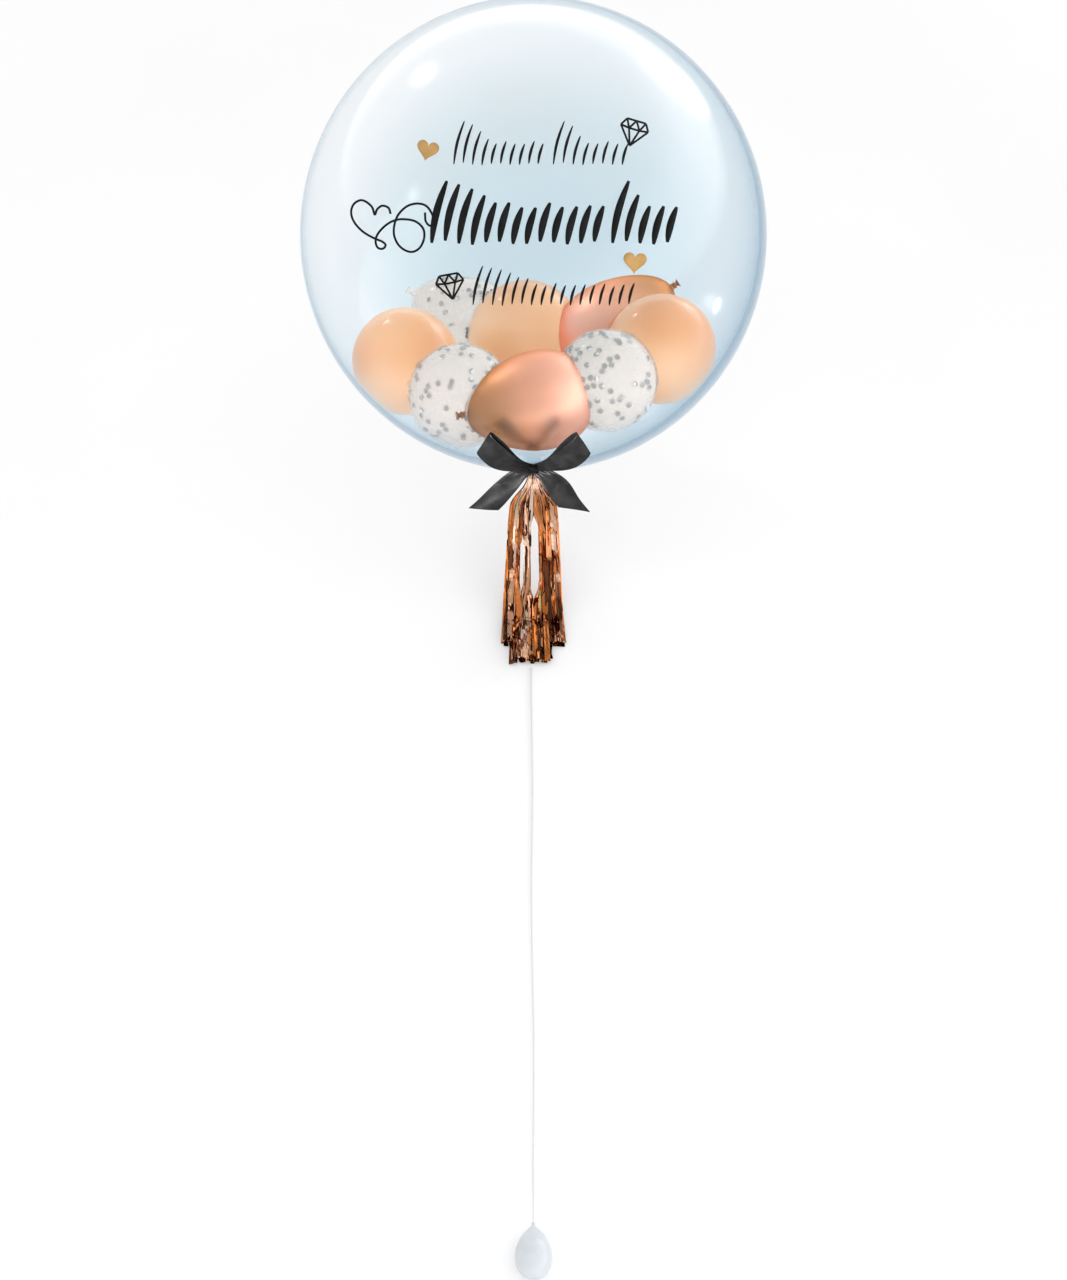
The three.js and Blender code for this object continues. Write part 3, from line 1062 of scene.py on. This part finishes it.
def makeBowRing():
    # two wraps of ribbon round the neck, with a crease between them
    half = bow["ringHeight"] / 2
    outside = bow["ringOutside"]
    edge = outside - bow["ringEdge"]
    section = [(bow["ringInside"], -half), (edge, -half), (outside, -half * 0.5), (outside - 0.0005, 0),
               (outside, half * 0.5), (edge, half), (bow["ringInside"], half)]
    count = len(section)
    around = 72
    points = []
    faces = []
    for step in range(around):
        turn = 2 * math.pi * step / around
        here = step * count
        after = (step + 1) % around * count
        for spot, (reach, height) in enumerate(section):
            reach += 0.0003 * math.sin(23 * turn + 300 * height)
            place = Vector((reach * math.cos(turn), reach * math.sin(turn), bow["ringMiddle"] + height))
            points.append(upright @ place)
            beside = (spot + 1) % count
            faces.append((here + spot, here + beside, after + beside, after + spot))
    makePiece("bowRing", points, faces, blackSatin)


makeBowKnot()
makeBowRing()
makeBowLoop("bowLoopLeft", -1)
makeBowLoop("bowLoopRight", 1)
makeBowTail("bowTailLeft", bow["tailOuterLeft"], bow["tailInnerLeft"], 1)
makeBowTail("bowTailRight", bow["tailOuterRight"], bow["tailInnerRight"], -1)
print("bubble balloon: bow")


# Tassel of rose foil strips, hanging from the neck and lying on the floor

tassel = {
    "start": -0.3183,           # on the balloon's axis, round the end of the neck
    "headHalf": 0.0088,         # from the neck's middle to the strips round it
    "landingAhead": -0.405,     # where the strips come down to the floor
    "landingHeight": 0.004,
    "neckPull": 0.060,          # how far it follows the neck before it bends down
    "floorPull": 0.034,         # and how early it levels out
    "length": 0.266,
    "sideCut": 0.030,           # how much shorter the strips at the sides are
    "middleCut": 0.002,
    "ragged": 0.010,
    "halfWidth": 0.043,
    "spreadHead": 0.17,         # how wide it fans under the neck, and then lower down
    "spreadFan": 0.49,
    "strips": 64,
    "layers": 4,
    "layerHead": 0.0012,        # from one layer to the next, under the neck and lower down
    "layerFan": 0.0024,
    "steps": 46,
    "stripWidth": 0.0080,
    "stripHead": 0.35,          # share of its width that a strip has under the neck
    "foil": 0.0002,
    "floorGap": 0.0004,
    "foldChance": 0.22,         # at each step along a strip
    "foldLean": 0.42,           # radians
    "crumple": 0.03,
    "crease": 0.0006,
    "orangeFrom": 0.05,         # place from -1 to 1
    "orangeShare": 0.6,
    "orangeTones": (0.2, 0.36),
    "pinkTones": (0.42, 0.9),
    # painted shade: tones for the strips drawn dark, as if they mirrored dark surroundings
    "paintedShadeTones": (0.0, 0.1),
    "oliveStrip": 42,
    # the pale painted highlight of the strips' head under the neck
    "headPaintedHighlight": 0.86,
    # see-through gaps: place from -1 to 1, half width, where along the tassel it opens and closes
    "gaps": [(0.05, 0.27, 0.26, 0.58), (-0.46, 0.16, 0.34, 0.56), (-0.70, 0.14, 0.66, 0.76)],
}
neckWay = (upright.to_3x3() @ Vector((0, 0, -1))).normalized()


def tasselLine():
    # a smooth bend from the neck down to the floor, then straight on along it
    start = upright @ Vector((0, 0, tassel["start"]))
    landing = Vector((0, tassel["landingAhead"], tassel["landingHeight"]))
    pull = start + neckWay * tassel["neckPull"]
    settle = landing + Vector((0, tassel["floorPull"], 0))
    line = []
    for step in range(41):
        t = step / 40
        left = 1 - t
        line.append(start * left ** 3 + pull * 3 * t * left ** 2
                    + settle * 3 * t * t * left + landing * t ** 3)
    fallen = sum((b - a).length for a, b in zip(line, line[1:]))
    for step in range(1, 21):
        line.append(landing + Vector((0, -(tassel["length"] - fallen) * step / 20, 0)))
    return line


def spotAlong(line, distance):
    for before, after in zip(line, line[1:]):
        span = (after - before).length
        if distance <= span:
            return mix(before, after, distance / span), (after - before).normalized()
        distance -= span
    return line[-1].copy(), (line[-1] - line[-2]).normalized()


def stripTone(number, place, dice):
    # orange on the right, pink and tan on the left, every third strip painted dark, a painted reflection of
    # dark surroundings, and one olive
    if place > tassel["orangeFrom"] and dice.random() < tassel["orangeShare"]:
        tone = dice.uniform(*tassel["orangeTones"])
    else:
        tone = dice.uniform(*tassel["pinkTones"])
    if number % 3 == 0:
        tone = dice.uniform(*tassel["paintedShadeTones"])
    if number == tassel["oliveStrip"]:
        tone = 1.0
    return tone


def gapShift(place, along):
    # how far a strip moves sideways to keep the see-through gaps open
    shift = 0.0
    for gapPlace, gapHalf, opens, closes in tassel["gaps"]:
        aside = place - gapPlace
        if abs(aside) < gapHalf:
            opened = blendOf(opens - 0.1, opens + 0.04, along)
            closed = blendOf(closes - 0.03, closes + 0.1, along)
            shift += math.copysign(gapHalf - abs(aside), aside) * tassel["halfWidth"] * opened * (1 - closed)
    return shift


def addStrip(points, faces, tones, line, number, dice):
    layer = number % tassel["layers"] - (tassel["layers"] - 1) / 2          # 0 halfway between the layers
    column = number // tassel["layers"] + 0.5 + dice.uniform(-0.4, 0.4)
    place = -1 + 2 * column / (tassel["strips"] / tassel["layers"])
    cut = tassel["sideCut"] if abs(place + 0.1) > 0.62 else tassel["middleCut"]
    length = tassel["length"] - cut - dice.uniform(0, tassel["ragged"])
    width = tassel["stripWidth"] * dice.uniform(0.75, 1.15)
    tone = stripTone(number, place, dice)
    phase = dice.uniform(0, 6.28)
    wander = dice.uniform(-0.003, 0.003)
    twist = dice.uniform(0.2, 0.75)
    fold = 0.0
    first = len(points)
    for step in range(tassel["steps"] + 1):
        along = step / tassel["steps"]
        spot, way = spotAlong(line, along * length)
        up = Vector((1, 0, 0)).cross(way).normalized()
        up = up if up.z > 0 else -up

        # where its middle is
        spread = mix(tassel["spreadHead"] + tassel["spreadFan"] * blendOf(0.02, 0.17, along), 1, along)
        across = place * tassel["halfWidth"] * 0.93 * spread + wander * math.sin(3 * along + phase) * along
        across += gapShift(place, along)
        rise = layer * mix(tassel["layerHead"], tassel["layerFan"], blendOf(0, 0.3, along))
        rise += 0.0012 * math.sin(9 * along + phase)
        rise += math.copysign(tassel["headHalf"], layer) * (1 - blendOf(0, 0.09, along))
        middle = spot + Vector((across, 0, 0)) + up * rise

        # how it leans: a slow twist, and flat facets that end at sharp folds
        if dice.random() < tassel["foldChance"]:
            fold = dice.gauss(0, tassel["foldLean"])
        crumple = (fold + dice.gauss(0, tassel["crumple"])) * blendOf(0.03, 0.12, along)
        lean = twist * math.sin(5.5 * along + phase) * blendOf(0.02, 0.3, along) + crumple
        side = Vector((math.cos(lean), 0, 0)) + up * math.sin(lean)
        narrow = mix(tassel["stripHead"], 1, blendOf(0, 0.3, along))
        crease = tassel["crease"] * math.sin(17 * along + 2 * phase) + 0.00008 * dice.gauss(0, 1)
        for edge, bend in ((-0.5, 0), (-0.17, 1), (0.17, -0.6), (0.5, 0)):
            point = middle + side * edge * width * narrow + up * crease * bend
            point.z = max(point.z, tassel["floorGap"])
            points.append(point)

        # painted reflection: the tone swings lighter and darker along each strip, and the head under the neck
        # is a pale painted highlight
        toneWithPaintedReflection = tone
        if number != tassel["oliveStrip"]:
            toneWithPaintedReflection = min(0.97, max(0.0, tone + 0.16 * math.sin(4.5 * along + phase)))
        tones += [mix(tassel["headPaintedHighlight"], toneWithPaintedReflection, blendOf(0.04, 0.14, along))] * 4
    faces += gridFaces(tassel["steps"] + 1, 4, False, first)


def makeTassel():
    dice = random.Random(7)
    line = tasselLine()
    points = []
    faces = []
    tones = []
    for number in range(tassel["strips"]):
        addStrip(points, faces, tones, line, number, dice)
    piece = makePiece("tasselStrips", points, faces, roseFoil, ["tassel"], smooth=False)
    markPoints(piece, "tone", tones)
    thicken(piece, tassel["foil"])


makeTassel()
print("bubble balloon: tassel")


# Weight: a small white balloon on the string's end

weight = {
    "radius": 0.0196,
    "flattened": 0.0004,        # where it lies on the floor
    "bodyEnds": 0.90,           # of a half turn, where the body passes into the knot
    "pointed": 0.6,             # how much the body narrows towards the knot
    "axisLevel": 0.55,          # of the length, from the knot to where the body's axis is level
    "knotLength": 0.005,
    # radius, distance past the body's end
    "knot": [(0.0020, 0.0016), (0.0026, 0.0028), (0.0018, 0.0040)],
    "knotEnd": 0.0042,
}
weightLow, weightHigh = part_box("weight")


def makeWeight():
    # lies on its side, its pointed end and knot towards the string
    middleHeight = weight["radius"] - weight["flattened"]
    stringHeight = stringLine[-1].z
    bodyLength = weightHigh.y - weightLow.y - weight["knotLength"]
    turns = [weight["bodyEnds"] * math.pi * step / 40 for step in range(41)]
    widths = [math.sin(turn) * math.cos(turn / 2) ** weight["pointed"] for turn in turns]
    profile = [(weight["radius"] * width / max(widths), math.cos(turn) * bodyLength / 2)
               for width, turn in zip(widths, turns)]
    reach, end = profile[-1]
    corners = [Vector((radius, end - past, 0)) for radius, past in weight["knot"]]
    knot = smoothLine([Vector((reach, end, 0)), *corners], 4)
    profile += [(spot.x, spot.y) for spot in knot[1:]]
    profile.append((0, end - weight["knotEnd"]))
    points, faces = turnedSurface(profile, 64)
    low = profile[-1][1]
    placed = []
    for point in points:
        back = (point.z - low) / (bodyLength / 2 - low)          # 0 at the knot, 1 at the crown
        axisHeight = mix(stringHeight, middleHeight, blendOf(0, weight["axisLevel"], back))
        height = max(axisHeight + point.y, 0.0)
        placed.append(Vector((point.x, mix(weightHigh.y, weightLow.y, back), height)))
    flipped = [tuple(reversed(face)) for face in faces]
    return makePiece("weightBalloon", placed, flipped, whiteLatex, ["weight"])


weightPiece = makeWeight()
print("bubble balloon: weight")


# Studio: a pale floor and soft light

studio = {
    "floorSize": 14.0,
    "floorDrop": 0.0006,        # below what lies on it
    "sky": 0.90,
    "overhead": (1.15, 1.15, 1.16),
    "horizon": (2.8, 2.8, 2.82),
    "glowTop": 0.42,            # height up to which the horizon glows, as a share of the way up
    "tilt": 0.32,               # how much higher the glow reaches on the right
    "behindCamera": 0.92,       # how bright the sky is there, beside the far side
    "farFrom": 0.4,             # how far back, from -1 to 1, it is fully bright
}


def makeFloor():
    finish = makeFinish("studioFloor", {"Specular IOR Level": 0.1, "Roughness": 0.9})
    paint(finish, addNoise(finish, 2.0), [(0.3, (0.735, 0.735, 0.735)), (0.7, (0.75, 0.75, 0.75))])
    half = studio["floorSize"] / 2
    level = -studio["floorDrop"]
    corners = [(-half, -half, level), (half, -half, level), (half, half, level), (-half, half, level)]
    mesh = bpy.data.meshes.new("studioFloor")
    mesh.from_pydata(corners, [], [(0, 1, 2, 3)])
    mesh.materials.append(finish)
    floor = bpy.data.objects.new("studioFloor", mesh)
    scene.collection.objects.link(floor)


def makeSky():
    # soft light from all round: it glows low down, and higher up on the right,
    # and is a little dimmer behind the camera
    world = bpy.data.worlds.new("studioSky")
    world.use_nodes = True
    scene.world = world
    nodes = world.node_tree.nodes
    links = world.node_tree.links
    places = nodes.new("ShaderNodeTexCoord")
    split = nodes.new("ShaderNodeSeparateXYZ")
    links.new(places.outputs["Generated"], split.inputs["Vector"])
    tilted = nodes.new("ShaderNodeVectorMath")
    tilted.operation = "DOT_PRODUCT"
    tilted.inputs[1].default_value = (-studio["tilt"], 0, 1)
    links.new(places.outputs["Generated"], tilted.inputs[0])
    height = nodes.new("ShaderNodeValToRGB")
    height.color_ramp.interpolation = "EASE"
    stops = [(0.0, studio["horizon"]), (studio["glowTop"], studio["overhead"])]
    for element, (place, colour) in zip(height.color_ramp.elements, stops):
        element.position = place
        element.color = (*colour, 1)
    depth = nodes.new("ShaderNodeMapRange")
    depth.inputs["From Min"].default_value = -1.0
    depth.inputs["From Max"].default_value = studio["farFrom"]
    depth.inputs["To Min"].default_value = studio["behindCamera"]
    depth.inputs["To Max"].default_value = 1.0
    links.new(tilted.outputs["Value"], height.inputs["Fac"])
    links.new(split.outputs["Y"], depth.inputs["Value"])
    product = nodes.new("ShaderNodeMath")
    product.operation = "MULTIPLY"
    product.inputs[1].default_value = studio["sky"]
    links.new(depth.outputs["Result"], product.inputs[0])
    background = nodes["Background"]
    links.new(height.outputs["Color"], background.inputs["Color"])
    links.new(product.outputs["Value"], background.inputs["Strength"])


# towards: from the bubble's middle; only: the pieces that this lamp alone shines on
softLights = {
    "fill": {
        "towards": (-0.02, -0.76, 0.60), "distance": 2.8, "size": 2.0, "power": 25,
        "inReflections": False, "shadow": False},
    "spotLeft": {
        "towards": (-0.551, 0.680, 0.482), "distance": 2.6, "size": 0.26, "power": 4,
        "inReflections": True, "shadow": True},
    "patchRight": {
        "towards": (0.616, 0.766, 0.185), "distance": 2.8, "size": 1.1, "power": 7,
        "inReflections": True, "shadow": True},
    "satinSoft": {
        "towards": (-0.22, -0.62, 0.42), "distance": 1.2, "size": 0.30, "power": 65,
        "inReflections": True, "shadow": True, "only": satin},
    "chromeSoft": {
        "towards": (0.90, -0.07, 0.39), "distance": 2.0, "size": 1.7, "power": 42,
        "inReflections": True, "shadow": True, "only": chromeOnes},
    "glintRight": {
        "towards": (0.939, -0.289, -0.188), "distance": 0.63, "size": 0.05, "power": 0.1,
        "inReflections": True, "shadow": False, "only": filmOnly},
}


def makeLights():
    for name, light in softLights.items():
        data = bpy.data.lights.new(name, "AREA")
        data.shape = "DISK"
        data.size = light["size"]
        data.energy = light["power"]
        data.use_shadow = light["shadow"]
        lamp = bpy.data.objects.new(name, data)
        scene.collection.objects.link(lamp)
        away = Vector(light["towards"]).normalized()
        lamp.location = bubbleCentre + away * light["distance"]
        lamp.rotation_euler = away.to_track_quat("Z", "Y").to_euler()
        lamp.visible_camera = False
        lamp.visible_glossy = light["inReflections"]
        lamp.visible_transmission = light["inReflections"] and light.get("only") != filmOnly
        if "only" in light:
            lamp.light_linking.receiver_collection = light["only"]


makeFloor()
makeSky()
makeLights()
print("bubble balloon: studio")

bpy.context.view_layer.update()
